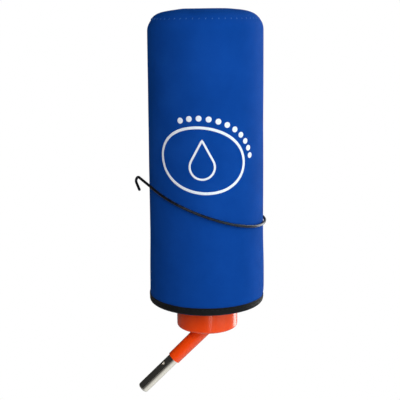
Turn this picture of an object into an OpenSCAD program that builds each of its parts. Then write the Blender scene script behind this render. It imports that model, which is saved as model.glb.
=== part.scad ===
// Rabbit water bottle, hung mouth down in a sprung wire clip and dressed in an insulating cover.
// Millimetres, +Z up, origin on the bottle axis at the middle of the cover's flat top.
// The drinking tube leaves the cap towards -X, and the clip's hooks face back and to the left.

/* [Cover] */
// Height of the cover, from its flat top down to the bound edge
cover_h = 197.1; // [150:0.1:260]
// Outside radius of the cover just under its rounded top
cover_r_top = 38.2; // [36:0.1:45]
// Outside radius of the cover at its open end
cover_r_end = 38.8; // [38:0.1:46]
// Thickness of the foam fabric
cover_t = 3; // [2:0.1:3.2]
// Width of the rounded top corner, measured along the radius
corner_w = 17; // [12:0.5:20]
// Height of the rounded top corner
corner_h = 14; // [11:0.5:18]
// Height of the tape folded over the open edge
binding_h = 5.3; // [4:0.1:9]
// Thickness of the tape
binding_t = 0.5; // [0.3:0.1:0.6]
// Depth of the top seam below the flat top
seam_drop = 6.4; // [4:0.2:9]

/* [Print on the cover] */
// Half length of the oval frame
oval_a = 26.5; // [18:0.1:30]
// Half height of the oval frame
oval_b = 21.4; // [14:0.1:24]
// Width of the printed lines
line_w = 1.8; // [1:0.1:3]
// Height of the oval's middle below the flat top
print_drop_z = 94.7; // [60:0.1:130]
// Thickness of the ink
ink_t = 0.2; // [0.1:0.05:0.2]

/* [Bottle] */
// Thickness of the blown wall
bottle_wall = 1; // [0.8:0.1:1.5]
// Outside radius of the neck under its thread
neck_r = 17.4; // [16:0.1:17.4]
// Thickness of the neck
neck_wall = 1.5; // [1.2:0.1:2]
// Length of the neck below the shoulder
neck_l = 25; // [22:0.5:28]
// Height of the shoulder
shoulder_h = 19; // [14:0.5:24]
// Depth of the hollow in the bottle's base
base_hollow = 5; // [2:0.5:8]

/* [Cap] */
// Outside radius of the cap
cap_r = 21; // [21:0.1:23]
// Height of the cap
cap_h = 26; // [25:0.5:28]
// Thickness of the cap's wall
cap_wall = 1.8; // [1.5:0.1:1.8]
// Thickness of the cap's floor
cap_floor = 2; // [1.6:0.1:3]
// Rounding of the cap's outer bottom edge
cap_round = 2; // [1:0.1:3]
// Rise of the screw thread in one turn
thread_pitch = 4; // [4:0.1:4.4]
// Turns of thread on the neck and in the cap
thread_turns = 1.75; // [1:0.25:2]
// Depth of the thread
thread_depth = 1.2; // [0.9:0.1:1.2]

/* [Spout and drinking tube] */
// Slope of the spout below the horizontal
spout_tilt = 45; // [35:1:55]
// Length of the spout from the bottle axis
spout_l = 33.4; // [28:0.2:40]
// Radius of the spout at the cap
spout_r_root = 5.1; // [4.8:0.1:5.6]
// Radius of the spout at its open end
spout_r_end = 4.8; // [4.4:0.1:5]
// Outside radius of the steel tube
tube_r = 4; // [3.8:0.05:4]
// Outside radius of its necked part, pressed into the spout
tube_neck_r = 3.7; // [3.6:0.05:3.7]
// Thickness of the steel tube
tube_wall = 0.5; // [0.4:0.05:0.5]
// Length of the steel tube outside the spout
tube_out = 32.2; // [28:0.2:40]
// Length of the steel tube inside the spout
tube_in = 16; // [12:0.5:18]
// Radius of the two steel balls
ball_r = 3.2; // [3.15:0.05:3.2]

/* [Hanging clip] */
// Radius of the clip's round part, to the middle of the wire
clip_r = 42.5; // [42.4:0.1:44]
// Radius of the wire
wire_r = 0.9; // [0.8:0.05:1]
// Depth of the clip's middle below the flat top
clip_drop = 126.2; // [90:0.1:140]
// Length of each straight leg
clip_leg = 23; // [18:0.5:30]
// Bend radius of each hook, to the middle of the wire
hook_r = 2.2; // [1.6:0.1:3]
// Turn of each hook
hook_turn = 155; // [120:5:175]
// Length of each hook's straight end
hook_end = 6.5; // [4:0.5:10]

/* [Hidden] */

$fn = 96;
gap = 0.3;        // clearance between pieces that slide or turn past each other
face_gap = 0.05;  // clearance between flat faces that meet
past = 1;         // how far a cutting shape runs past the face that it cuts

// Colours
blue = [0.06, 0.24, 0.57];
light_blue = [0.33, 0.55, 0.84];
black = [0.08, 0.08, 0.09];
white = [0.93, 0.94, 0.97];
milky = [0.86, 0.89, 0.92, 0.6];
orange_red = [0.87, 0.24, 0.02];
steel = [0.74, 0.73, 0.71];

function reversed(list) = [for (i = [len(list) - 1:-1:0]) list[i]];

// ---- cover ----
corner_steps = 12;
cover_slope = (cover_r_end - cover_r_top) / (cover_h - corner_h);
sleeve_end_z = -cover_h + binding_t;
function cover_r(z) = z > -corner_h ? cover_r_top : cover_r_top + cover_slope * (-z - corner_h);

// Points along the rounded corner, moved inwards by d, from angle a0 (at the side) to a1 (on top)
function corner(d, a0, a1) = [for (i = [0:corner_steps])
    let (a = a0 + (a1 - a0) * i / corner_steps)
    [cover_r_top - corner_w + (corner_w - d) * cos(a), -corner_h + (corner_h - d) * sin(a)]];

seam_a = asin(1 - seam_drop / corner_h);
seam_r = cover_r_top - corner_w + corner_w * cos(seam_a);
seam_gap_a = 0.3;      // angle that keeps the edges of the top and the sleeve just apart

module cover_sleeve() {
    color(blue)
    difference() {
        rotate_extrude()
        polygon(concat(
            [[cover_r_end - cover_t, sleeve_end_z], [cover_r_end, sleeve_end_z]],
            corner(0, 0, seam_a),
            reversed(corner(cover_t, 0, seam_a))));
        seam_groove();
    }
}

// The back seam is pulled in, so that its stitches lie level with the cover
module seam_groove() {
    width = side_stitch_w + 2 * groove_margin;
    top_in = side_seam_in - groove_margin;
    length = cover_h - binding_h - corner_h - 2 * top_in;
    translate([0, cover_r_top - groove_d, -corner_h])
    rotate([atan(cover_slope), 0, 0])
    translate([-width / 2, 0, -length - top_in])
    cube([width, groove_d + past, length]);
}

module cover_top() {
    color(blue)
    rotate_extrude()
    polygon(concat(
        [[0, 0], [0, -cover_t]],
        reversed(corner(cover_t, seam_a + seam_gap_a, 90)),
        corner(0, seam_a + seam_gap_a, 90)));
}

module hem_binding() {
    out_face = cover_r_end + face_gap;
    in_face = cover_r_end - cover_t - face_gap;
    outer = out_face + binding_t;
    inner = in_face - binding_t;
    fold = sleeve_end_z - face_gap;
    top = -cover_h + binding_h;
    color(black)
    rotate_extrude()
    polygon([[inner, top], [inner, sleeve_end_z], [inner + binding_t, -cover_h],
             [outer - binding_t, -cover_h], [outer, sleeve_end_z], [outer, top],
             [out_face, top], [out_face, fold], [in_face, fold], [in_face, top]]);
}

// ---- sewing ----
thread_r = 0.28;
top_stitches = 54;
top_stitch_l = 2.4;
hem_stitches = 78;
hem_stitch_l = 2.2;
hem_stitch_in = 1.3;   // distance of the hem's stitches from the upper edge of the tape
side_stitches = 42;
side_stitch_w = 4;
side_seam_in = 3;      // distance of the side seam's stitches from the tape and the corner
stitch_lift = thread_r + face_gap;
groove_d = stitch_lift + thread_r;
groove_margin = 0.8;   // how far the groove of the side seam reaches past its stitches

module stitch(length) {
    cylinder(r = thread_r, h = length, center = true, $fn = 16);
}

module top_seam_thread() {
    facing = atan2(corner_w * sin(seam_a), corner_h * cos(seam_a));
    color(light_blue)
    for (i = [0:top_stitches - 1])
        rotate([0, 0, (i + 0.5) * 360 / top_stitches])
        translate([seam_r, 0, -seam_drop])
        rotate([0, -facing, 0])
        translate([stitch_lift, 0, 0])
        stitch(top_stitch_l);
}

// A zigzag down the back, over the butted edges of the sleeve
module side_seam_thread() {
    z0 = -corner_h - side_seam_in;
    z1 = -cover_h + binding_h + side_seam_in;
    step = (z0 - z1) / side_stitches;
    slant = atan2(side_stitch_w, step);
    length = sqrt(pow(side_stitch_w, 2) + pow(step, 2)) - 3 * thread_r;
    color(light_blue)
    for (i = [0:side_stitches - 1]) {
        z = z0 - (i + 0.5) * step;
        translate([0, cover_r(z) - groove_d + stitch_lift, z])
        rotate([0, i % 2 == 0 ? slant : -slant, 0])
        stitch(length);
    }
}

module hem_thread() {
    color(black)
    for (i = [0:hem_stitches - 1])
        rotate([0, 0, i * 360 / hem_stitches])
        translate([cover_r_end + face_gap + binding_t + stitch_lift, 0, -cover_h + binding_h - hem_stitch_in])
        rotate([90, 0, 0])
        stitch(hem_stitch_l);
}

// ---- print: a plain oval, a water drop and a row of dots ----
print_tilt = -9.5;     // the oval's long axis falls to the right
print_x = -2.4;        // middle of the oval, left of the cover's front line
print_band = 50;       // height of the ink's band above and below the oval's middle
oval_points = 72;
drop_r = 8;
drop_tip = 17;
drop_steps = 40;
dot_count = 11;
dot_r = 1.9;
dots_out = 5.5;        // distance of the dots outside the oval
dots_from = 122;       // angles round the oval of the first and the last dot
dots_to = 16;

function oval(a, b) = [for (i = [0:oval_points - 1])
    let (t = i * 360 / oval_points) [a * cos(t), b * sin(t)]];

// Wraps a flat drawing onto the front of the cover
module ink() {
    low = -print_drop_z - print_band;
    high = -print_drop_z + print_band;
    color(white)
    intersection() {
        rotate_extrude()
        polygon([[cover_r(low) + face_gap, low], [cover_r(low) + face_gap + ink_t, low],
                 [cover_r(high) + face_gap + ink_t, high], [cover_r(high) + face_gap, high]]);
        translate([print_x, 0, -print_drop_z])
        rotate([90, 0, 0])
        linear_extrude(height = cover_r_end + ink_t + past)
        rotate(print_tilt)
        children();
    }
}

module print_oval() {
    ink()
    difference() {
        polygon(oval(oval_a, oval_b));
        polygon(oval(oval_a - line_w, oval_b - line_w));
    }
}

// Outline of a water drop, its round part about the origin
function drop_outline(r, tip) =
    let (side = asin(r / tip))
    concat([[0, tip]], [for (i = [0:drop_steps])
        let (a = side - (180 + 2 * side) * i / drop_steps)
        [r * cos(a), r * sin(a)]]);

module print_drop() {
    ink()
    rotate(-print_tilt)
    translate([0, -drop_r / 2])
    difference() {
        polygon(drop_outline(drop_r, drop_tip));
        polygon(drop_outline(drop_r - line_w, drop_tip - line_w * drop_tip / drop_r));
    }
}

module print_dots() {
    ink()
    for (i = [0:dot_count - 1]) {
        t = dots_from + (dots_to - dots_from) * i / (dot_count - 1);
        translate([(oval_a + dots_out) * cos(t), (oval_b + dots_out) * sin(t)])
        circle(r = dot_r, $fn = 32);
    }
}

// ---- levels of the bottle and the cap ----
cap_show = 19.4;                      // height of the cap below the cover's edge
cap_z = -cover_h - cap_show;          // underside of the cap
washer_t = 2;
lip_z = cap_z + cap_floor + washer_t + 2 * face_gap;
shoulder_z = lip_z + neck_l;
wall_end_z = shoulder_z + shoulder_h;

// ---- screw thread ----
ridge_root = 1.8;
ridge_tip = 0.8;
ridge_steps = 30;      // steps in one turn
ridge_fade = 8;        // steps over which each end rises from nothing
ridge_bed = 0.3;       // how far a ridge is sunk into its wall
thread_z = lip_z + 4;  // middle of the ridges where they start

// A ridge that climbs thread_turns turns from the angle start, from its wall at r_wall to r_crest
module screw_ridge(r_wall, r_crest, start) {
    n = floor(thread_turns * ridge_steps);
    out = r_crest > r_wall ? 1 : -1;
    r_root = r_wall - out * ridge_bed;
    points = [for (i = [0:n])
        let (a = start + i * 360 / ridge_steps,
             rise = max(0.05, min(1, i / ridge_fade, (n - i) / ridge_fade)),
             r = r_wall + (r_crest - r_wall) * rise,
             mid = thread_z + thread_pitch * i / ridge_steps)
        for (p = [[r_root, -ridge_root / 2], [r, -ridge_tip / 2], [r, ridge_tip / 2], [r_root, ridge_root / 2]])
            [p[0] * cos(a), p[0] * sin(a), mid + p[1]]];
    sides = [for (i = [0:n - 1]) for (k = [0:3])
        let (a = 4 * i + k, b = 4 * i + (k + 1) % 4)
        [a, a + 4, b + 4, b]];
    ends = [[0, 1, 2, 3], [4 * n + 3, 4 * n + 2, 4 * n + 1, 4 * n]];
    faces = concat(sides, ends);
    polyhedron(points = points, faces = out > 0 ? [for (f = faces) reversed(f)] : faces, convexity = 6);
}

// ---- bottle ----
bottle_gap = cover_t + gap;
bottle_r = cover_r_top - bottle_gap;
neck_bore = neck_r - neck_wall;
collar_w = 1.4;
curve_steps = 10;

// Hollow in the base, moved down by d
function base_side(d) = [for (i = [0:curve_steps - 1])
    [(cover_r_top - corner_w) * i / curve_steps,
     -bottle_gap - d - base_hollow * (1 + cos(180 * i / curve_steps)) / 2]];

// Half outline from the base round to the top of the neck, moved inwards by d
function bottle_side(d) = concat(
    base_side(d),
    [for (i = [0:curve_steps])
        let (a = 90 - 90 * i / curve_steps)
        [cover_r_top - corner_w + (corner_w - bottle_gap - d) * cos(a),
         -corner_h + (corner_h - bottle_gap - d) * sin(a)]],
    [for (i = [0:curve_steps])
        let (a = 90 * i / curve_steps)
        [neck_bore + (d == 0 ? neck_wall : 0) + (bottle_r - d - neck_bore - (d == 0 ? neck_wall : 0)) * cos(a),
         wall_end_z - (shoulder_h - d) * sin(a)]]);

module bottle() {
    color(milky)
    union() {
        rotate_extrude()
        polygon(concat(
            bottle_side(0),
            [[neck_r, lip_z], [neck_bore, lip_z]],
            reversed(bottle_side(bottle_wall))));
        screw_ridge(neck_r, neck_r + thread_depth, 0);
        translate([0, 0, cap_z + cap_h + gap])
        difference() {
            cylinder(r = neck_r + collar_w, h = collar_w);
            translate([0, 0, -past]) cylinder(r = neck_bore + neck_wall / 2, h = collar_w + 2 * past);
        }
    }
}

// ---- cap, washer, tube and balls ----
cap_bore = cap_r - cap_wall;
washer_inset = 2;                     // how far the washer reaches inside the neck's bore
spout_drop = 1;                       // depth below the cap at which the spout's axis meets the bottle's
spout_back = 8;                       // length of the spout inside the cap, trimmed off by its hollow
passage_r = 3.2;
tube_bore = tube_r - tube_wall;
tube_start = spout_l - tube_in;
tube_end = spout_l + tube_out;
crimp_r = 1.5;                        // rounding of the tube's closed-in end
dimple_s = spout_l + 7.3;             // place of the dimple that keeps the balls in
dimple_turn = -37;                    // where the dimple is round the tube, from its upper side
dimple_in = 4.15;                     // distance of the dimple's middle from the tube's axis
dimple_r = 1.55;
ball_back = 2.65;                     // distance of the front ball's middle from the tube's end

// Places children on the spout's axis, with +Z towards the drinking end
module on_spout(s) {
    translate([0, 0, cap_z - spout_drop])
    rotate([0, -90 - spout_tilt, 0])
    translate([0, 0, s])
    children();
}

module cap_outline() {
    translate([0, cap_round]) square([cap_r, cap_h - cap_round]);
    square([cap_r - cap_round, cap_h]);
    translate([cap_r - cap_round, cap_round]) circle(r = cap_round);
}

module screw_cap() {
    spout_taper = (spout_r_root - spout_r_end) / spout_l;
    color(orange_red) {
        difference() {
            union() {
                translate([0, 0, cap_z]) rotate_extrude() cap_outline();
                on_spout(-spout_back)
                cylinder(r1 = spout_r_root + spout_taper * spout_back, r2 = spout_r_end, h = spout_l + spout_back);
            }
            translate([0, 0, cap_z + cap_floor]) cylinder(r = cap_bore, h = cap_h);
            on_spout(-spout_back - past) cylinder(r = passage_r, h = spout_l + spout_back);
            on_spout(tube_start) cylinder(r = tube_neck_r, h = tube_in + past);
        }
        screw_ridge(cap_bore, cap_bore - thread_depth, 180);
    }
}

module cap_washer() {
    color(black)
    translate([0, 0, cap_z + cap_floor + face_gap])
    difference() {
        cylinder(r = cap_bore - gap, h = washer_t);
        translate([0, 0, -past]) cylinder(r = neck_bore - washer_inset, h = washer_t + 2 * past);
    }
}

// Half section of a round-ended tube with a necked start, solid to the axis
module tube_outline(r, neck_r, neck_end, round_r, end) {
    translate([0, tube_start]) square([neck_r, neck_end - tube_start]);
    translate([0, neck_end]) square([r, end - round_r - neck_end]);
    translate([0, neck_end]) square([r - round_r, end - neck_end]);
    translate([r - round_r, end - round_r])
    intersection() {
        circle(r = round_r, $fn = 48);
        square(round_r);
    }
}

module drinking_tube() {
    neck_end = spout_l + face_gap;
    color(steel)
    on_spout(0)
    difference() {
        union() {
            rotate_extrude()
            difference() {
                tube_outline(tube_r, tube_neck_r, neck_end, crimp_r, tube_end);
                tube_outline(tube_bore, tube_neck_r - tube_wall, neck_end + tube_wall,
                             crimp_r - tube_wall, tube_end - tube_wall);
                translate([0, tube_start - past]) square([tube_bore, 2 * past]);
                translate([0, tube_end - past]) square([tube_r - crimp_r, 2 * past]);
            }
            intersection() {
                dimple_ball(dimple_r);
                translate([0, 0, dimple_s - 2 * dimple_r]) cylinder(r = tube_r - tube_wall / 2, h = 4 * dimple_r);
            }
        }
        dimple_ball(dimple_r - tube_wall);
    }
}

module dimple_ball(r) {
    rotate([0, 0, dimple_turn])
    translate([dimple_in, 0, dimple_s])
    sphere(r = r, $fn = 48);
}

module front_ball() {
    color(steel)
    on_spout(tube_end - ball_back) sphere(r = ball_r);
}

module rear_ball() {
    color(steel)
    on_spout(tube_end - ball_back - 2 * ball_r - 2 * face_gap) sphere(r = ball_r);
}

// ---- hanging clip ----
clip_pitch = 5.4;      // slope of the clip's plane from front to back
clip_roll = 20.4;      // slope of the clip's plane from left to right
clip_sag = 3.5;        // dip of the round part out of its plane, behind the right side
sag_from = -8;         // directions between which it dips
sag_to = 88;
clip_facing = 155;     // direction of the cage in the clip's plane
clip_wrap = 234.6;     // how far round the cover the clip reaches
clip_steps = 72;
hook_steps = 14;
wire_sides = 12;
leg_heading = clip_facing + 90 - clip_wrap / 2;

// Each station along the wire is [place, heading in the clip's plane, dip below that plane].
// One end from the round part outwards: a straight leg, the bend of the hook and its straight end
function clip_end() =
    let (root = leg_heading + 90,
         way = [cos(leg_heading), sin(leg_heading), 0],
         leg = [clip_r * cos(root), clip_r * sin(root), 0] + clip_leg * way,
         bend = [for (i = [0:hook_steps])
             let (a = hook_turn * i / hook_steps)
             [leg + hook_r * [sin(a) * way[0], sin(a) * way[1], cos(a) - 1], leg_heading, a]],
         tip = bend[hook_steps][0]
             + hook_end * [cos(hook_turn) * way[0], cos(hook_turn) * way[1], -sin(hook_turn)])
    concat(bend, [[tip, leg_heading, hook_turn]]);

// The same end on the other side of the direction that the clip faces
function mirrored(p) =
    let (c = cos(2 * clip_facing), s = sin(2 * clip_facing))
    [c * p[0] + s * p[1], s * p[0] - c * p[1], p[2]];

function clip_path() = concat(
    [for (s = reversed(clip_end())) [s[0], s[1] + 180, -s[2]]],
    [for (i = [0:clip_steps])
        let (a = leg_heading + 90 + clip_wrap * i / clip_steps,
             along = min(max((a - 360 - sag_from) / (sag_to - sag_from), 0), 1))
        [[clip_r * cos(a), clip_r * sin(a), -clip_sag * pow(sin(180 * along), 2)], a + 90, 0]],
    [for (s = clip_end()) [mirrored(s[0]), 2 * clip_facing - s[1], s[2]]]);

module hanging_wire() {
    path = clip_path();
    n = len(path);
    points = [for (s = path) for (k = [0:wire_sides - 1])
        let (a = 360 * k / wire_sides,
             side = [-sin(s[1]), cos(s[1]), 0],
             up = [sin(s[2]) * cos(s[1]), sin(s[2]) * sin(s[1]), cos(s[2])])
        s[0] + wire_r * (cos(a) * side + sin(a) * up)];
    sides = [for (i = [0:n - 2]) for (k = [0:wire_sides - 1])
        let (a = wire_sides * i + k, b = wire_sides * i + (k + 1) % wire_sides)
        [a, a + wire_sides, b + wire_sides, b]];
    first = [for (k = [0:wire_sides - 1]) k];
    last = [for (k = [wire_sides - 1:-1:0]) wire_sides * (n - 1) + k];
    color(black)
    translate([0, 0, -clip_drop])
    rotate([clip_pitch, clip_roll, 0])
    polyhedron(points = points, faces = concat(sides, [first, last]), convexity = 6);
}

hanging_wire();
cover_sleeve();
cover_top();
top_seam_thread();
side_seam_thread();
hem_binding();
hem_thread();
print_oval();
print_drop();
print_dots();
bottle();
screw_cap();
cap_washer();
drinking_tube();
front_ball();
rear_ball();
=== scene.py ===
"""Looks of the rabbit water bottle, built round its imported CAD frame. Metres, +Z up."""

import math

import bpy
from mathutils import Matrix, Vector, noise


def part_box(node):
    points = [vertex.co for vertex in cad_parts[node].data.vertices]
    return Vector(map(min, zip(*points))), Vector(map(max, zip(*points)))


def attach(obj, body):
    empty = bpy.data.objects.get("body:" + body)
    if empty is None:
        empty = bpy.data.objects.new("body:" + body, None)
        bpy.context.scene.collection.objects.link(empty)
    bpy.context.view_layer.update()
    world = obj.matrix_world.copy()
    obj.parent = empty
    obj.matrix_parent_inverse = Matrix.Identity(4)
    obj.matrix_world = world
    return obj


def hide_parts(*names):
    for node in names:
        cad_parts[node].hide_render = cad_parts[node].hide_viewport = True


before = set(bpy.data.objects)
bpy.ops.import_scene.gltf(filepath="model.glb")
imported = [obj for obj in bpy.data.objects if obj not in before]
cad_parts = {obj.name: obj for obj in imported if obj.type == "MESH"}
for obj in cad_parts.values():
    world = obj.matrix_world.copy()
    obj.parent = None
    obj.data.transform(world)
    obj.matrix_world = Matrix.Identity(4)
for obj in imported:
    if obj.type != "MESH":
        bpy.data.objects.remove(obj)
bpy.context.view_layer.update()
MM = 0.001

# ---- driving sizes, from the frame ----
SLEEVE_LOW, SLEEVE_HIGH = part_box("cover_sleeve")
TOP_LOW, TOP_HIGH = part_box("cover_top")
TAPE_LOW, TAPE_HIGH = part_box("hem_binding")
CORNER_W = 17 * MM                  # width and height of the cover's rounded top corner
CORNER_H = 14 * MM
FABRIC = 3 * MM                     # thickness of the foam fabric
END_R = SLEEVE_HIGH.x               # cover's radius at its open end
END_Z = SLEEVE_LOW.z
SEAM_R = TOP_HIGH.x                 # top seam's radius and height
SEAM_Z = -6.4 * MM
SEAM_ANGLE = math.asin((SEAM_Z + CORNER_H) / CORNER_H)
SIDE_R = SEAM_R + CORNER_W * (1 - math.cos(SEAM_ANGLE))
TAPE_Z = TAPE_LOW.z                 # the tape's fold
TAPE_H = TAPE_HIGH.z - TAPE_LOW.z
TAPE_T = TAPE_HIGH.x - END_R        # from the cover's face to the tape's face
TOP_STITCHES = 54
HEM_STITCHES = 78
RIGHT = 0.0                         # directions round the bottle, in radians from +X
FRONT = -math.pi / 2
BACK = math.pi / 2


# ---- camera, light and floor ----
def make_camera():
    """A long lens a little above the cover's top, looking slightly down."""
    data = bpy.data.cameras.new("camera")
    data.lens = 81
    data.sensor_width = 36
    data.clip_end = 50
    cam = bpy.data.objects.new("camera", data)
    place = Matrix.Translation((-4.4 * MM, -600 * MM, -4.9 * MM))
    tilt = Matrix.Rotation(math.radians(90 - 11.56), 4, "X")
    roll = Matrix.Rotation(math.radians(-0.47), 4, "Z")
    cam.matrix_world = place @ tilt @ roll
    bpy.context.scene.collection.objects.link(cam)
    bpy.context.scene.camera = cam


def add_area(name, place, aim, size, watts, colour=(1, 1, 1)):
    data = bpy.data.lights.new(name, "AREA")
    data.shape = "RECTANGLE"
    data.size, data.size_y = size
    data.energy = watts
    data.color = colour
    light = bpy.data.objects.new(name, data)
    light.location = place
    light.rotation_euler = (Vector(aim) - Vector(place)).to_track_quat("-Z", "Y").to_euler()
    bpy.context.scene.collection.objects.link(light)
    return light


def make_world():
    """White to the camera; to the object a pale lower half and a dark upper left."""
    world = bpy.data.worlds.new("studio")
    bpy.context.scene.world = world
    world.use_nodes = True
    nt = world.node_tree
    nt.nodes.clear()
    out = nt.nodes.new("ShaderNodeOutputWorld")
    mix = nt.nodes.new("ShaderNodeMixShader")
    path = nt.nodes.new("ShaderNodeLightPath")
    seen = nt.nodes.new("ShaderNodeBackground")
    seen.inputs["Color"].default_value = (1, 1, 1, 1)
    seen.inputs["Strength"].default_value = 1.0
    around = nt.nodes.new("ShaderNodeBackground")
    around.inputs["Strength"].default_value = 1.0
    coord = nt.nodes.new("ShaderNodeTexCoord")
    split = nt.nodes.new("ShaderNodeSeparateXYZ")
    ramp = nt.nodes.new("ShaderNodeValToRGB")
    ramp.color_ramp.elements[0].position = 0.47
    ramp.color_ramp.elements[0].color = (0.62, 0.61, 0.58, 1)
    ramp.color_ramp.elements[1].position = 0.54
    ramp.color_ramp.elements[1].color = (0.035, 0.035, 0.034, 1)
    lift = nt.nodes.new("ShaderNodeMath")
    lift.operation = "MULTIPLY_ADD"
    lift.inputs[1].default_value = -1.0
    half = nt.nodes.new("ShaderNodeMath")
    half.operation = "MULTIPLY_ADD"
    half.inputs[1].default_value = 0.5
    half.inputs[2].default_value = 0.5
    nt.links.new(coord.outputs["Generated"], split.inputs[0])
    nt.links.new(split.outputs["X"], lift.inputs[0])
    nt.links.new(split.outputs["Z"], lift.inputs[2])
    nt.links.new(lift.outputs[0], half.inputs[0])
    nt.links.new(half.outputs[0], ramp.inputs["Fac"])
    nt.links.new(ramp.outputs["Color"], around.inputs["Color"])
    nt.links.new(path.outputs["Is Camera Ray"], mix.inputs["Fac"])
    nt.links.new(around.outputs[0], mix.inputs[1])
    nt.links.new(seen.outputs[0], mix.inputs[2])
    nt.links.new(mix.outputs[0], out.inputs["Surface"])


def make_floor():
    bpy.ops.mesh.primitive_plane_add(size=12, location=(0, 0, -0.95))
    floor = bpy.context.object
    floor.name = "floor"
    mat = bpy.data.materials.new("floor_white")
    mat.use_nodes = True
    nt = mat.node_tree
    nt.nodes.clear()
    out = nt.nodes.new("ShaderNodeOutputMaterial")
    mix = nt.nodes.new("ShaderNodeMixShader")
    path = nt.nodes.new("ShaderNodeLightPath")
    matt = nt.nodes.new("ShaderNodeBsdfDiffuse")
    matt.inputs["Color"].default_value = (0.86, 0.86, 0.86, 1)
    # Painted reflection light: to glossy rays the floor glows, faint at -X and brighter towards +X, so shiny parts show
    # a bright reflection on their lower sides.
    pale = nt.nodes.new("ShaderNodeEmission")
    pale.inputs["Color"].default_value = (1.0, 0.97, 0.92, 1)
    both = nt.nodes.new("ShaderNodeAddShader")
    coord = nt.nodes.new("ShaderNodeTexCoord")
    split = nt.nodes.new("ShaderNodeSeparateXYZ")
    across = nt.nodes.new("ShaderNodeMapRange")
    across.inputs["From Min"].default_value = -0.25
    across.inputs["From Max"].default_value = 0.35
    across.inputs["To Min"].default_value = 0.03
    across.inputs["To Max"].default_value = 0.48
    mirrored = nt.nodes.new("ShaderNodeMath")
    mirrored.operation = "MULTIPLY"
    glow = nt.nodes.new("ShaderNodeEmission")
    glow.inputs["Color"].default_value = (1, 1, 1, 1)
    nt.links.new(path.outputs["Is Camera Ray"], mix.inputs["Fac"])
    nt.links.new(coord.outputs["Object"], split.inputs[0])
    nt.links.new(split.outputs["X"], across.inputs["Value"])
    nt.links.new(across.outputs["Result"], mirrored.inputs[0])
    nt.links.new(path.outputs["Is Glossy Ray"], mirrored.inputs[1])
    nt.links.new(mirrored.outputs[0], pale.inputs["Strength"])
    nt.links.new(matt.outputs[0], both.inputs[0])
    nt.links.new(pale.outputs[0], both.inputs[1])
    nt.links.new(both.outputs[0], mix.inputs[1])
    nt.links.new(glow.outputs[0], mix.inputs[2])
    nt.links.new(mix.outputs[0], out.inputs["Surface"])
    floor.data.materials.append(mat)


def make_light():
    make_world()
    middle = (0, 0, -0.12)
    add_area("softbox_right", (0.62, -0.42, 0.02), middle, (0.55, 0.9), 3.5, (0.78, 1.0, 1.0))
    add_area("softbox_back_right", (0.5, 0.42, -0.06), middle, (0.3, 0.9), 3.6)
    add_area("softbox_front", (-0.22, -0.95, 0.45), middle, (0.7, 0.6), 6.9)
    add_area("strip_front_right", (0.19, -0.9, -0.12), middle, (0.09, 0.8), 1.2)
    make_floor()


# ---- mesh helpers ----
def new_object(name, verts, faces, mats, face_mats=None, uvs=None, smooth=True):
    mesh = bpy.data.meshes.new(name)
    mesh.from_pydata(verts, [], faces)
    for m in mats:
        mesh.materials.append(m)
    if face_mats:
        mesh.polygons.foreach_set("material_index", face_mats)
    if uvs:
        layer = mesh.uv_layers.new(name="metres")
        flat = [c for face in uvs for uv in face for c in uv]
        layer.data.foreach_set("uv", flat)
    mesh.polygons.foreach_set("use_smooth", [smooth] * len(faces))
    mesh.update()
    obj = bpy.data.objects.new(name, mesh)
    bpy.context.scene.collection.objects.link(obj)
    return obj


def lathe(name, section, steps, mats, shape=None):
    """Turns a closed section of (radius, z, material) round Z. shape(r, z, angle, index) moves a point."""
    verts, rings = [], []
    for i, (r, z, _) in enumerate(section):
        if r == 0:
            place = shape(r, z, 0.0, i) if shape else (r, z)
            rings.append([len(verts)])
            verts.append((0, 0, place[1]))
            continue
        ring = []
        for k in range(steps):
            a = 2 * math.pi * k / steps
            pr, pz = shape(r, z, a, i) if shape else (r, z)
            ring.append(len(verts))
            verts.append((pr * math.cos(a), pr * math.sin(a), pz))
        rings.append(ring)
    along = [0.0]
    for (r0, z0, _), (r1, z1, _) in zip(section, section[1:] + section[:1]):
        along.append(along[-1] + math.hypot(r1 - r0, z1 - z0))
    widest = max(r for r, _, _ in section)
    faces, face_mats, uvs = [], [], []
    n = len(section)
    closed = section[0][0] > 0 and section[-1][0] > 0
    for i in range(n if closed else n - 1):
        low, high = rings[i], rings[(i + 1) % n]
        v0, v1 = along[i], along[i + 1]
        for k in range(steps):
            k2 = (k + 1) % steps
            u0, u1 = 2 * math.pi * widest * k / steps, 2 * math.pi * widest * (k + 1) / steps
            if len(low) == 1:
                faces.append((low[0], high[k2], high[k]))
                uvs.append(((u0, v0), (u1, v1), (u0, v1)))
            elif len(high) == 1:
                faces.append((low[k], low[k2], high[0]))
                uvs.append(((u0, v0), (u1, v0), (u0, v1)))
            else:
                faces.append((low[k], low[k2], high[k2], high[k]))
                uvs.append(((u0, v0), (u1, v0), (u1, v1), (u0, v1)))
            face_mats.append(section[i][2])
    return new_object(name, verts, faces, mats, face_mats, uvs)


def frames_along(points):
    """Unit tangents and one steady pair of normals along a line of points."""
    tangents = []
    for i in range(len(points)):
        a, b = points[max(i - 1, 0)], points[min(i + 1, len(points) - 1)]
        tangents.append((b - a).normalized())
    side = tangents[0].orthogonal().normalized()
    out = []
    for t in tangents:
        side = (side - t * side.dot(t)).normalized()
        out.append((t, side, t.cross(side)))
    return out


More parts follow.
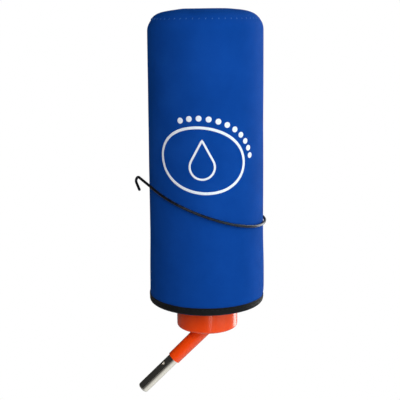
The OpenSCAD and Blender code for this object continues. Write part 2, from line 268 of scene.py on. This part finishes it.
def tube(points, radius, sides, verts, faces, radii=None):
    """Adds a closed tube with rounded ends along points to verts and faces."""
    base = len(verts)
    framed = frames_along(points)
    rings = []
    for i, (p, (t, s, u)) in enumerate(zip(points, framed)):
        r = radii[i] if radii else radius
        rings.append((p, s, u, r))
    cap = 0.45
    first, last = rings[0], rings[-1]
    rings.insert(0, (first[0] - framed[0][0] * radius * cap, first[1], first[2], first[3] * 0.72))
    rings.append((last[0] + framed[-1][0] * radius * cap, last[1], last[2], last[3] * 0.72))
    for p, s, u, r in rings:
        for k in range(sides):
            a = 2 * math.pi * k / sides
            verts.append(tuple(p + r * (math.cos(a) * s + math.sin(a) * u)))
    n = len(rings)
    for i in range(n - 1):
        for k in range(sides):
            a, b = base + i * sides + k, base + i * sides + (k + 1) % sides
            faces.append((a, b, b + sides, a + sides))
    faces.append(tuple(base + k for k in reversed(range(sides))))
    faces.append(tuple(base + (n - 1) * sides + k for k in range(sides)))


def twisted_thread(points, radius, twist, verts, faces):
    """Adds a two-ply thread along points: two strands wound round each other."""
    framed = frames_along(points)
    way = 0.0
    for strand in range(2):
        line, way = [], 0.0
        for i, (p, (_, s, u)) in enumerate(zip(points, framed)):
            if i:
                way += (points[i] - points[i - 1]).length
            a = 2 * math.pi * way / twist + math.pi * strand
            line.append(p + radius * 0.45 * (math.cos(a) * s + math.sin(a) * u))
        tube(line, radius * 0.62, 7, verts, faces)


# ---- material helpers ----
class Nodes:
    """A material's node tree with short calls for the nodes used here."""

    def __init__(self, name):
        self.mat = bpy.data.materials.new(name)
        self.mat.use_nodes = True
        self.tree = self.mat.node_tree
        self.tree.nodes.clear()
        self.out = self.tree.nodes.new("ShaderNodeOutputMaterial")
        self.bsdf = self.tree.nodes.new("ShaderNodeBsdfPrincipled")
        self.link(self.bsdf.outputs[0], self.out.inputs["Surface"])

    def link(self, a, b):
        self.tree.links.new(a, b)

    def put(self, socket, value):
        if isinstance(value, bpy.types.NodeSocket):
            self.link(value, socket)
        else:
            socket.default_value = value

    def set(self, **values):
        for key, value in values.items():
            self.put(self.bsdf.inputs[key.replace("_", " ")], value)

    def coords(self, kind="Object"):
        return self.tree.nodes.new("ShaderNodeTexCoord").outputs[kind]

    def mapped(self, vector, scale=(1, 1, 1), turn=(0, 0, 0)):
        node = self.tree.nodes.new("ShaderNodeMapping")
        self.link(vector, node.inputs["Vector"])
        node.inputs["Scale"].default_value = scale
        node.inputs["Rotation"].default_value = turn
        return node.outputs[0]

    def noise(self, vector, scale, detail=3.0, rough=0.5):
        node = self.tree.nodes.new("ShaderNodeTexNoise")
        self.link(vector, node.inputs["Vector"])
        node.inputs["Scale"].default_value = scale
        node.inputs["Detail"].default_value = detail
        node.inputs["Roughness"].default_value = rough
        return node.outputs["Fac"]

    def math(self, operation, a, b=0.0, c=0.0):
        node = self.tree.nodes.new("ShaderNodeMath")
        node.operation = operation
        for socket, value in zip(node.inputs, (a, b, c)):
            self.put(socket, value)
        return node.outputs[0]

    def split(self, vector):
        node = self.tree.nodes.new("ShaderNodeSeparateXYZ")
        self.link(vector, node.inputs[0])
        return node.outputs

    def ramp(self, factor, stops):
        node = self.tree.nodes.new("ShaderNodeValToRGB")
        self.put(node.inputs["Fac"], factor)
        ramp = node.color_ramp
        while len(ramp.elements) < len(stops):
            ramp.elements.new(0.5)
        for element, (at, colour) in zip(ramp.elements, stops):
            element.position = at
            element.color = (*colour, 1)
        return node.outputs["Color"]

    def range(self, value, low, high):
        node = self.tree.nodes.new("ShaderNodeMapRange")
        self.put(node.inputs["Value"], value)
        node.inputs["To Min"].default_value = low
        node.inputs["To Max"].default_value = high
        return node.outputs[0]

    def bump(self, height, strength, depth):
        node = self.tree.nodes.new("ShaderNodeBump")
        self.link(height, node.inputs["Height"])
        node.inputs["Strength"].default_value = strength
        node.inputs["Distance"].default_value = depth
        self.link(node.outputs[0], self.bsdf.inputs["Normal"])
        return node


def knit_height(n, wale, course):
    """Height of a fine jersey knit: columns of V-shaped loops, from the UV map in metres."""
    u, v, _ = n.split(n.coords("UV"))
    column = n.math("PINGPONG", n.math("DIVIDE", u, wale), 0.5)
    phase = n.math("ADD", n.math("DIVIDE", v, course), n.math("MULTIPLY", column, 1.4))
    loop = n.math("SINE", n.math("MULTIPLY", phase, 2 * math.pi))
    rib = n.math("SINE", n.math("MULTIPLY", column, 2 * math.pi))
    return n.math("ADD", n.math("MULTIPLY", loop, 0.5), rib)


def jersey(name, dark, mid, light, sheen_colour, sheen):
    """Fine knit face of the foam fabric, with soft unevenness and a little nap."""
    n = Nodes(name)
    here = n.coords()
    cloudy = n.noise(here, 38.0, 4.0, 0.6)
    knit = knit_height(n, 0.75 * MM, 0.55 * MM)
    fleck = n.noise(here, 1900.0, 2.0, 0.6)
    tone = n.math("ADD", n.math("MULTIPLY", cloudy, 0.7), n.math("MULTIPLY", knit, 0.1))
    tone = n.math("ADD", tone, n.math("MULTIPLY", fleck, 0.25))
    n.set(Base_Color=n.ramp(tone, [(0.25, dark), (0.5, mid), (0.8, light)]))
    n.set(Roughness=n.range(fleck, 0.62, 0.86))
    n.set(Sheen_Weight=sheen, Sheen_Roughness=0.45, Sheen_Tint=(*sheen_colour, 1))
    n.set(Specular_Tint=(*sheen_colour, 1))
    n.bsdf.inputs["Specular IOR Level"].default_value = 0.02
    height = n.math("ADD", knit, n.math("MULTIPLY", fleck, 0.8))
    n.bump(height, 0.35, 0.12 * MM)
    return n.mat


def thread_material(name, colour, dark, sheen):
    n = Nodes(name)
    fibres = n.noise(n.mapped(n.coords(), (1, 1, 1)), 2600.0, 3.0, 0.7)
    n.set(Base_Color=n.ramp(fibres, [(0.3, dark), (0.7, colour)]))
    n.set(Roughness=0.65, Sheen_Weight=sheen, Sheen_Roughness=0.4)
    n.bsdf.inputs["Specular IOR Level"].default_value = 0.2
    n.bump(fibres, 0.4, 0.05 * MM)
    return n.mat


def tape_material():
    """Woven black binding tape: fine ribs across it and a faint bloom."""
    n = Nodes("black_tape")
    u, v, _ = n.split(n.coords("UV"))
    rib = n.math("SINE", n.math("MULTIPLY", u, 2 * math.pi / (0.7 * MM)))
    weft = n.math("SINE", n.math("MULTIPLY", v, 2 * math.pi / (0.45 * MM)))
    bloom = n.noise(n.coords(), 160.0, 4.0, 0.6)
    weave = n.math("ADD", rib, n.math("MULTIPLY", weft, 0.6))
    tone = n.math("ADD", n.math("MULTIPLY", bloom, 0.8), n.math("MULTIPLY", weave, 0.06))
    n.set(Base_Color=n.ramp(tone, [(0.25, (0.0025, 0.0025, 0.003)), (0.75, (0.01, 0.01, 0.011))]))
    n.set(Roughness=n.range(bloom, 0.55, 0.75), Sheen_Weight=0.04, Sheen_Roughness=0.5)
    n.bsdf.inputs["Specular IOR Level"].default_value = 0.12
    n.bump(weave, 0.5, 0.08 * MM)
    return n.mat


def ink_material():
    """Matt white ink that lets a little of the knit show through."""
    n = Nodes("white_ink")
    patch = n.noise(n.coords(), 420.0, 4.0, 0.65)
    pores = n.noise(n.coords(), 2400.0, 2.0, 0.6)
    tone = n.math("ADD", n.math("MULTIPLY", patch, 0.6), n.math("MULTIPLY", pores, 0.4))
    n.set(Base_Color=n.ramp(tone, [(0.28, (0.55, 0.62, 0.82)), (0.42, (0.8, 0.83, 0.92)), (0.7, (0.9, 0.91, 0.95))]))
    n.set(Roughness=n.range(pores, 0.45, 0.7))
    n.bump(pores, 0.25, 0.06 * MM)
    return n.mat


def cap_material():
    """Glossy moulded plastic with faint flow marks and handling scratches."""
    n = Nodes("orange_red_plastic")
    here = n.coords()
    flow = n.noise(n.mapped(here, (1, 1, 0.35)), 90.0, 3.0, 0.55)
    fine = n.noise(here, 1500.0, 3.0, 0.6)
    hair = n.noise(n.mapped(here, (1, 1, 14), (0.5, 0.3, 0)), 260.0, 2.0, 0.5)
    n.set(Base_Color=n.ramp(flow, [(0.3, (0.93, 0.058, 0.0008)), (0.55, (1.0, 0.07, 0.0015)), (0.75, (1.0, 0.082, 0.003))]))
    n.set(Roughness=n.range(n.math("ADD", n.math("MULTIPLY", fine, 0.5), n.math("MULTIPLY", hair, 0.5)), 0.16, 0.28))
    n.set(Subsurface_Weight=0.08, Subsurface_Radius=(0.004, 0.0012, 0.0006), Subsurface_Scale=0.2)
    n.bsdf.inputs["IOR"].default_value = 1.49
    n.bump(n.math("ADD", n.math("MULTIPLY", fine, 0.4), n.math("MULTIPLY", flow, 4.0)), 0.06, 0.03 * MM)
    return n.mat


def steel_material():
    """Drawn stainless tube: fine lines along the tube, a few water spots."""
    n = Nodes("drawn_steel")
    here = n.coords()
    lean = n.mapped(here, (1, 1, 1), (0, math.radians(-45), 0))
    lines = n.noise(n.mapped(lean, (1, 1, 0.02)), 1500.0, 3.0, 0.6)
    spots = n.noise(here, 420.0, 4.0, 0.7)
    tone = n.math("ADD", n.math("MULTIPLY", lines, 0.6), n.math("MULTIPLY", spots, 0.4))
    n.set(Base_Color=n.ramp(tone, [(0.3, (0.66, 0.63, 0.57)), (0.6, (0.76, 0.73, 0.67)), (0.8, (0.8, 0.77, 0.71))]))
    n.set(Metallic=1.0, Roughness=n.range(tone, 0.07, 0.15))
    n.bump(lines, 0.03, 0.003 * MM)
    return n.mat


def ball_material():
    n = Nodes("polished_steel")
    wear = n.noise(n.coords(), 1400.0, 4.0, 0.7)
    n.set(Base_Color=n.ramp(wear, [(0.3, (0.6, 0.6, 0.6)), (0.7, (0.74, 0.74, 0.74))]))
    n.set(Metallic=1.0, Roughness=n.range(wear, 0.05, 0.16))
    n.bump(wear, 0.06, 0.01 * MM)
    return n.mat


def wire_material():
    """Black coating on the clip's wire, with small dips where it was bent."""
    n = Nodes("black_coating")
    here = n.coords()
    dips = n.noise(here, 300.0, 4.0, 0.6)
    grain = n.noise(here, 2200.0, 2.0, 0.5)
    n.set(Base_Color=n.ramp(dips, [(0.3, (0.004, 0.004, 0.005)), (0.7, (0.013, 0.013, 0.015))]))
    n.set(Roughness=n.range(dips, 0.2, 0.36))
    n.set(Specular_Tint=(0.6, 0.72, 1.0, 1))
    n.bsdf.inputs["Specular IOR Level"].default_value = 0.3
    n.bump(n.math("ADD", dips, n.math("MULTIPLY", grain, 0.3)), 0.2, 0.05 * MM)
    return n.mat


def rubber_material():
    n = Nodes("washer_rubber")
    grain = n.noise(n.coords(), 1200.0, 4.0, 0.6)
    n.set(Base_Color=n.ramp(grain, [(0.3, (0.012, 0.012, 0.012)), (0.7, (0.028, 0.027, 0.026))]))
    n.set(Roughness=n.range(grain, 0.55, 0.8))
    n.bump(grain, 0.3, 0.05 * MM)
    return n.mat


def bottle_material():
    """Milky blown polyethylene: cloudy, soft shine, faint streaks down its length."""
    n = Nodes("milky_plastic")
    here = n.coords()
    streak = n.noise(n.mapped(here, (1, 1, 0.12)), 120.0, 4.0, 0.6)
    skin = n.noise(here, 900.0, 3.0, 0.6)
    n.set(Base_Color=n.ramp(streak, [(0.3, (0.74, 0.79, 0.83)), (0.7, (0.86, 0.89, 0.91))]))
    n.set(Roughness=n.range(skin, 0.3, 0.48), Transmission_Weight=0.45)
    n.bsdf.inputs["IOR"].default_value = 1.3
    n.set(Subsurface_Weight=0.3, Subsurface_Radius=(0.006, 0.006, 0.006), Subsurface_Scale=0.3)
    n.bump(n.math("ADD", n.math("MULTIPLY", streak, 2.0), skin), 0.25, 0.08 * MM)
    return n.mat


# ---- cover ----
def side_r(z):
    """Outer radius of the cover at height z, as the CAD has it."""
    if z >= -CORNER_H:
        lift = min(max((z + CORNER_H) / CORNER_H, 0.0), 1.0)
        return SIDE_R - CORNER_W + CORNER_W * math.sqrt(1 - lift * lift)
    share = (-CORNER_H - z) / (-CORNER_H - END_Z)
    return SIDE_R + (END_R - SIDE_R) * share


def near(angle, centre, width):
    """1 at centre, falling smoothly to 0 at width away, for angles round the bottle."""
    d = abs(math.atan2(math.sin(angle - centre), math.cos(angle - centre)))
    return 0.5 + 0.5 * math.cos(math.pi * min(d / width, 1.0))


def fade(x, width):
    return 0.5 + 0.5 * math.cos(math.pi * min(abs(x) / width, 1.0))


def softness(angle, z):
    """Slow unevenness of the fabric over the bottle."""
    p = Vector((math.cos(angle) * 1.3, math.sin(angle) * 1.3, z * 16))
    q = Vector((math.cos(angle) * 3.1, math.sin(angle) * 3.1, z * 45 + 7))
    return 0.2 * MM * noise.noise(p) + 0.07 * MM * noise.noise(q)


def fullness(z):
    """The cover stands off a little below the clip."""
    low, high = -178 * MM, -146 * MM
    share = min(max((high - z) / (high - low), 0.0), 1.0)
    return 0.55 * MM * share * share * (3 - 2 * share)


def corner_sag(angle, z):
    """The rounded corner sits lower on the left."""
    return -0.5 * MM * near(angle, math.pi, 1.1) * fade(z + 7 * MM, 8 * MM)


def hem_drop(angle, z):
    """The front of the hem hangs a little lower."""
    return -0.25 * MM * near(angle, FRONT, 1.7) * fade(z - TAPE_Z, 14 * MM)


def hem_pull(angle, z):
    """The taped edge draws in, most of all on the right."""
    up = z - TAPE_Z
    return -(0.25 + 0.95 * near(angle, RIGHT + 0.1, 1.0)) * MM * fade(up, 11 * MM)


def seam_dip(angle, away, count, depth, reach):
    """Groove along a seam, deeper at each stitch and puffed up between them."""
    beat = 0.5 + 0.5 * math.cos(angle * count)
    return -(depth * (0.55 + 0.45 * beat)) * fade(away, reach) + 0.12 * depth * fade(away - reach, reach)


def outer_point(angle, z):
    """Distance from the axis of the cover's outer face, with its soft detail."""
    r = side_r(z) + softness(angle, z) + fullness(z) + corner_sag(angle, z) + hem_pull(angle, z)
    r += seam_dip(angle - math.pi / TOP_STITCHES, SEAM_Z - z, TOP_STITCHES, 0.34 * MM, 3.2 * MM) * 0.6
    over = fade((z - TAPE_Z - TAPE_H - 1.2 * MM), 3.5 * MM)
    r += 0.16 * MM * over
    off = math.atan2(math.sin(angle - BACK), math.cos(angle - BACK)) * r
    return r - 0.5 * MM * fade(off, 3.2 * MM) - 0.2 * MM * fade(off, 0.9 * MM)


def spaced(a, b, n):
    return [a + (b - a) * i / n for i in range(n + 1)]


def cover_side(cloth, lining):
    arc = [SEAM_ANGLE * (1 - i / 22) for i in range(23)]
    corner = [(SIDE_R - CORNER_W + CORNER_W * math.cos(a), -CORNER_H + CORNER_H * math.sin(a)) for a in arc]
    down = [(side_r(z), z) for z in spaced(-CORNER_H, END_Z + 14 * MM, 52)[1:] + spaced(END_Z + 14 * MM, END_Z, 16)[1:]]
    outer = [(r, z, 0) for r, z in corner + down]
    inner_corner = [
        (SIDE_R - CORNER_W + (CORNER_W - FABRIC) * math.cos(a), -CORNER_H + (CORNER_H - FABRIC) * math.sin(a), 1)
        for a in reversed(arc[::3])
    ]
    inner = [(side_r(z) - FABRIC, z, 1) for z in reversed(spaced(-CORNER_H, END_Z, 24)[1:])] + inner_corner
    count = len(outer)

    def shape(r, z, angle, i):
        if i < count:
            return outer_point(angle, z), z + hem_drop(angle, z)
        return r + min(hem_pull(angle, z) * 0.4, 0), z

    section = outer + inner
    side = lathe("cover_side", section, TOP_STITCHES * 8, [cloth, lining], shape)
    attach(side, "cover")
    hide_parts("cover_sleeve")
    return side


def cover_cap(cloth, lining):
    """The round top, slightly puffed, its edge drawn down into the seam."""
    outer_arc = [math.pi / 2 - (math.pi / 2 - SEAM_ANGLE) * i / 26 for i in range(27)]
    flat = [((SIDE_R - CORNER_W) * i / 12, TOP_HIGH.z) for i in range(12)]
    outer = flat + [(SIDE_R - CORNER_W + CORNER_W * math.cos(a), -CORNER_H + CORNER_H * math.sin(a)) for a in outer_arc]
    inner = [
        (SIDE_R - CORNER_W + (CORNER_W - FABRIC) * math.cos(a), -CORNER_H + (CORNER_H - FABRIC) * math.sin(a), 1)
        for a in reversed(outer_arc[::3])
    ] + [((SIDE_R - CORNER_W) * i / 4, TOP_HIGH.z - FABRIC, 1) for i in (3, 2, 1, 0)]
    section = [(r, z, 0) for r, z in outer] + inner
    count = len(outer)

    def shape(r, z, angle, i):
        if i >= count:
            return r, z
        away = math.hypot(r - SEAM_R, z - SEAM_Z)
        dip = seam_dip(angle - math.pi / TOP_STITCHES, away, TOP_STITCHES, 0.34 * MM, 3.2 * MM) * 0.6
        here = Vector((math.cos(angle) * r * 60, math.sin(angle) * r * 60, 3))
        puff = -(1.05 + 0.5 * near(angle, math.pi, 1.2)) * MM * fade(r - 26 * MM, 13 * MM)
        puff += 0.1 * MM * (noise.noise(here) - 1)
        lean = min(r / SEAM_R, 1.0) ** 3 * 0.75
        return r + dip * lean, z + dip * (1 - lean) + puff * (1 - lean)

    top = lathe("cover_crown", section, TOP_STITCHES * 8, [cloth, lining], shape)
    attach(top, "cover")
    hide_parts("cover_top")
    return top


def tape_top(angle):
    """Height of the tape's upper edge: sewn on less evenly at the right."""
    wave = 0.25 * MM * noise.noise(Vector((math.cos(angle) * 2.2, math.sin(angle) * 2.2, 11)))
    return TAPE_H - 1.7 * MM * near(angle, RIGHT + 0.15, 0.95) + wave


def hem_tape(tape):
    """The folded tape: down the outside, round the edge and up the inside."""
    leg, turn = 10, 10
    half = (FABRIC + 2 * TAPE_T) / 2
    mid_r = END_R - FABRIC / 2
    path = []
    path += [("out", i / leg) for i in range(leg)]
    path += [("turn", i / turn) for i in range(turn + 1)]
    path += [("in", 1 - i / leg) for i in range(1, leg + 1)]

    def face(step, share, angle, depth):
        """Point of the tape's face at that depth under its outer skin."""
        top = tape_top(angle)
        pinch = 0.12 * MM * math.cos(angle * HEM_STITCHES) if step != "turn" else 0.0
        swell = half - depth
        if step == "turn":
            a = math.pi * share
            return mid_r + swell * math.cos(a), TAPE_Z + 1.7 * MM - (1.7 * MM - depth) * math.sin(a)
        up = TAPE_Z + 1.7 * MM + (top - 1.7 * MM) * (1 - share)
        press = 0.22 * MM * fade((1 - share) * (top - 1.7 * MM) - (top - 3.0 * MM), 1.4 * MM)
        side = 1 if step == "out" else -1
        return mid_r + side * (swell - press - 0.35 * abs(pinch)), up

    outer = [(s, sh, 0.0) for s, sh in path]
    inner = [(s, sh, TAPE_T * 0.96) for s, sh in reversed(path)]
    rows = outer + inner
    section = [(*face(s, sh, 0.0, d), 0) for s, sh, d in rows]

    def shape(r, z, angle, i):
        s, sh, d = rows[i]
        pr, pz = face(s, sh, angle, d)
        return pr + (hem_pull(angle, pz) + fullness(pz)) * (1.0 if s != "in" else 0.5), pz + hem_drop(angle, pz)

    obj = lathe("hem_tape", section, HEM_STITCHES * 6, [tape], shape)
    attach(obj, "cover")
    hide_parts("hem_binding")
    return obj


# ---- sewing ----
def arch(a, b, out, rise, sink, n=9):
    """Points of one stitch from a to b: up out of the fabric, over and back in."""
    points = []
    for i in range(n):
        t = i / (n - 1)
        lift = rise * math.sin(math.pi * t) ** 0.6 - sink * abs(2 * t - 1) ** 4
        points.append(a.lerp(b, t) + out * lift)
    return points


def on_side(angle, z):
    r = outer_point(angle, z)
    return Vector((r * math.cos(angle), r * math.sin(angle), z))


def outward(angle, slope=0.0):
    return Vector((math.cos(angle) * math.cos(slope), math.sin(angle) * math.cos(slope), math.sin(slope)))


def finish_thread(name, verts, faces, mat, body, node):
    obj = new_object(name, verts, faces, [mat])
    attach(obj, body)
    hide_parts(node)


def top_thread(mat):
    slope = math.atan2(CORNER_W * math.sin(SEAM_ANGLE), CORNER_H * math.cos(SEAM_ANGLE))
    verts, faces = [], []
    for i in range(TOP_STITCHES):
        angle = 2 * math.pi * (i + 0.5) / TOP_STITCHES
        out = outward(angle, slope)
        up = Vector((-math.cos(angle) * math.sin(slope), -math.sin(angle) * math.sin(slope), math.cos(slope)))
        along = Vector((-math.sin(angle), math.cos(angle), 0))
        seam = Vector((SEAM_R * math.cos(angle), SEAM_R * math.sin(angle), SEAM_Z)) - out * 0.3 * MM
        reach = (0.85 + 0.12 * math.sin(i * 2.7)) * MM
        lean = along * 0.35 * MM
        a = seam - up * reach - lean
        b = seam + up * reach + lean
        twisted_thread(arch(a, b, out, 0.08 * MM, 0.5 * MM), 0.24 * MM, 1.1 * MM, verts, faces)
    finish_thread("top_stitches", verts, faces, mat, "cover", "top_seam_thread")


def side_thread(mat):
    low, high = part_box("side_seam_thread")
    count = 42
    half = (high.x - low.x) / 2
    verts, faces = [], []
    for i in range(count):
        z0 = high.z + (low.z - high.z) * i / count
        z1 = high.z + (low.z - high.z) * (i + 1) / count
        flip = 1 if i % 2 else -1
        a = on_side(BACK - flip * half / END_R, z0)
        b = on_side(BACK + flip * half / END_R, z1)
        twisted_thread(arch(a, b, outward(BACK), 0.1 * MM, 0.35 * MM), 0.26 * MM, 1.1 * MM, verts, faces)
    finish_thread("side_stitches", verts, faces, mat, "cover", "side_seam_thread")


def hem_stitching(mat):
    verts, faces = [], []
    for i in range(HEM_STITCHES):
        a0 = 2 * math.pi * (i + 0.12) / HEM_STITCHES
        a1 = 2 * math.pi * (i + 0.88) / HEM_STITCHES
        mid = (a0 + a1) / 2
        z = TAPE_Z + tape_top(mid) - 1.3 * MM
        r = END_R + TAPE_T - 0.2 * MM + hem_pull(mid, z) + fullness(z)
        z += hem_drop(mid, z)
        a = outward(a0) * r + Vector((0, 0, z))
        b = outward(a1) * r + Vector((0, 0, z))
        twisted_thread(arch(a, b, outward(mid), 0.16 * MM, 0.45 * MM, 7), 0.2 * MM, 1.0 * MM, verts, faces)
    finish_thread("hem_stitches", verts, faces, mat, "cover", "hem_thread")


# ---- print ----
PRINT_Z = -94.7 * MM                # middle of the printed oval
PRINT_ANGLE = FRONT - 0.075
PRINT_TILT = math.radians(-9.5)
INK = 0.11 * MM


def wrapped(x, y, lift):
    """Point of the flat drawing (x to the right, y up) laid on the cover."""
    z = PRINT_Z + y
    angle = PRINT_ANGLE + x / SIDE_R
    r = side_r(z) + softness(angle, z) + lift
    return (r * math.cos(angle), r * math.sin(angle), z)


def turned(x, y, angle):
    return x * math.cos(angle) - y * math.sin(angle), x * math.sin(angle) + y * math.cos(angle)


def ribbon(line, width, verts, faces, closed=True):
    """Adds a printed line of that width, with rounded shoulders, along flat points."""
    shape = [(-0.5, -0.5), (-0.47, 0.6), (-0.36, 1.0), (0.0, 1.0), (0.36, 1.0), (0.47, 0.6), (0.5, -0.5)]
    base, n, m = len(verts), len(line), len(shape)
    for i, (x, y) in enumerate(line):
        if closed:
            before, after = line[i - 1], line[(i + 1) % n]
        else:
            before, after = line[max(i - 1, 0)], line[min(i + 1, n - 1)]
        dx, dy = after[0] - before[0], after[1] - before[1]
        d = math.hypot(dx, dy)
        for across, lift in shape:
            wob = 1 + 0.03 * noise.noise(Vector((x * 900, y * 900, across)))
            px, py = x - dy / d * width * across * wob, y + dx / d * width * across * wob
            verts.append(wrapped(px, py, INK * lift))
    for i in range(n if closed else n - 1):
        for k in range(m):
            a, b = base + i * m + k, base + i * m + (k + 1) % m
            c, e = base + ((i + 1) % n) * m + (k + 1) % m, base + ((i + 1) % n) * m + k
            faces.append((a, b, c, e))
    if not closed:
        faces.append(tuple(base + k for k in reversed(range(m))))
        faces.append(tuple(base + (n - 1) * m + k for k in range(m)))


def disc(cx, cy, radius, verts, faces, sides=40):
    """Adds a printed dot."""
    rings = [(1.0, -0.5), (0.98, 0.5), (0.9, 1.0), (0.6, 1.0), (0.3, 1.0)]
    base = len(verts)
    for share, lift in rings:
        for k in range(sides):
            a = 2 * math.pi * k / sides
            verts.append(wrapped(cx + radius * share * math.cos(a), cy + radius * share * math.sin(a), INK * lift))
    top = len(verts)
    verts.append(wrapped(cx, cy, INK))
    under = len(verts)
    verts.append(wrapped(cx, cy, -INK / 2))
    for i in range(len(rings) - 1):
        for k in range(sides):
            a, b = base + i * sides + k, base + i * sides + (k + 1) % sides
            faces.append((a, b, b + sides, a + sides))
    for k in range(sides):
        k2 = (k + 1) % sides
        faces.append((base + 4 * sides + k, base + 4 * sides + k2, top))
        faces.append((base + k2, base + k, under))


def printed(name, verts, faces, mat, node):
    obj = new_object(name, verts, faces, [mat])
    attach(obj, "cover")
    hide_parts(node)


def print_on_cover(mat):
    half_a, half_b, line = 28.5 * MM, 20.8 * MM, 1.85 * MM
    verts, faces = [], []
    steps = 220
    oval = [turned(half_a * math.cos(2 * math.pi * i / steps), half_b * math.sin(2 * math.pi * i / steps), PRINT_TILT)
            for i in range(steps)]
    ribbon(oval, line, verts, faces)
    printed("oval_line", verts, faces, mat, "print_oval")

    verts, faces = [], []
    round_r, tip = 8 * MM, 17 * MM
    side = math.asin(round_r / tip)
    start, span, low = side, math.pi + 2 * side, -4 * MM
    arc = [start - span * i / 60 for i in range(61)]
    outline = [(round_r * math.cos(a), low + round_r * math.sin(a)) for a in arc]
    ends = outline[-1], (0.0, low + tip), outline[0]
    left = [(ends[0][0] + (ends[1][0] - ends[0][0]) * i / 12, ends[0][1] + (ends[1][1] - ends[0][1]) * i / 12) for i in range(1, 13)]
    right = [(ends[1][0] + (ends[2][0] - ends[1][0]) * i / 12, ends[1][1] + (ends[2][1] - ends[1][1]) * i / 12) for i in range(1, 12)]
    ribbon(outline + left + right, 1.4 * MM, verts, faces)
    printed("drop_line", verts, faces, mat, "print_drop")

    verts, faces = [], []
    count, out, radius = 11, 5.8 * MM, 1.9 * MM
    for i in range(count):
        a = math.radians(122 + (16 - 122) * i / (count - 1))
        x, y = turned((half_a + out) * math.cos(a), (half_b + out) * math.sin(a), PRINT_TILT)
        disc(x, y, radius, verts, faces)
    printed("dot_row", verts, faces, mat, "print_dots")


# ---- clip ----
def clip_points():
    """Middle line of the wire: hook, leg, round part, leg and hook, in the clip's own plane."""
    ring, leg, hook, hook_turn, hook_end = 42.5 * MM, 23 * MM, 2.2 * MM, math.radians(155), 6.5 * MM
    facing, wrap = math.radians(155), math.radians(234.6)
    heading = facing + math.pi / 2 - wrap / 2
    root = heading + math.pi / 2
    way = Vector((math.cos(heading), math.sin(heading), 0))
    up = Vector((0, 0, 1))
    corner = Vector((math.cos(root), math.sin(root), 0)) * ring
    end = [corner + way * leg * i / 8 for i in range(1, 9)]
    bend = [end[-1] + way * hook * math.sin(a) + up * hook * (math.cos(a) - 1) for a in spaced(0, hook_turn, 18)[1:]]
    last = way * math.cos(hook_turn) - up * math.sin(hook_turn)
    end += bend + [bend[-1] + last * hook_end * i / 5 for i in range(1, 6)]
    sag, sag_from, sag_to = 3.5 * MM, 2 * math.pi - math.radians(8), 2 * math.pi + math.radians(88)
    ring_points = []
    for a in spaced(root, root + wrap, 120):
        share = min(max((a - sag_from) / (sag_to - sag_from), 0.0), 1.0)
        ring_points.append(Vector((math.cos(a) * ring, math.sin(a) * ring, -sag * math.sin(math.pi * share) ** 2)))
    c, s = math.cos(2 * facing), math.sin(2 * facing)
    other = [Vector((c * p.x + s * p.y, s * p.x - c * p.y, p.z)) for p in end]
    return list(reversed(end)) + ring_points + other


def hanging_clip(mat):
    lean = Matrix.Rotation(math.radians(20.4), 4, "Y") @ Matrix.Rotation(math.radians(5.4), 4, "X")
    place = Matrix.Translation((0, 0, -126.2 * MM)) @ lean
    points = [place @ p for p in clip_points()]
    verts, faces = [], []
    tube(points, 0.9 * MM, 20, verts, faces)
    obj = new_object("wire_clip", verts, faces, [mat])
    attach(obj, "clip")
    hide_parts("hanging_wire")


# ---- CAD pieces that keep their own shape ----
def dress(node, mat):
    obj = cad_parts[node]
    obj.data.materials.clear()
    obj.data.materials.append(mat)


make_camera()
make_light()

blue_cloth = jersey("blue_jersey", (0.003, 0.044, 0.25), (0.0045, 0.053, 0.30), (0.007, 0.067, 0.36), (0.02, 0.5, 1.0), 0.03)
dark_lining = jersey("dark_lining", (0.008, 0.008, 0.01), (0.012, 0.012, 0.015), (0.02, 0.02, 0.024), (0.5, 0.5, 0.5), 0.2)
light_thread = thread_material("light_blue_thread", (0.045, 0.17, 0.5), (0.02, 0.09, 0.36), 0.2)
black_thread = thread_material("black_thread", (0.009, 0.009, 0.01), (0.003, 0.003, 0.0035), 0.05)

side = cover_side(blue_cloth, dark_lining)
crown = cover_cap(blue_cloth, dark_lining)
tape = hem_tape(tape_material())
top_thread(light_thread)
side_thread(light_thread)
hem_stitching(black_thread)
print_on_cover(ink_material())
hanging_clip(wire_material())
dress("bottle", bottle_material())
dress("screw_cap", cap_material())
dress("cap_washer", rubber_material())
dress("drinking_tube", steel_material())
dress("front_ball", ball_material())
dress("rear_ball", ball_material())

bpy.context.scene.view_settings.view_transform = "Standard"
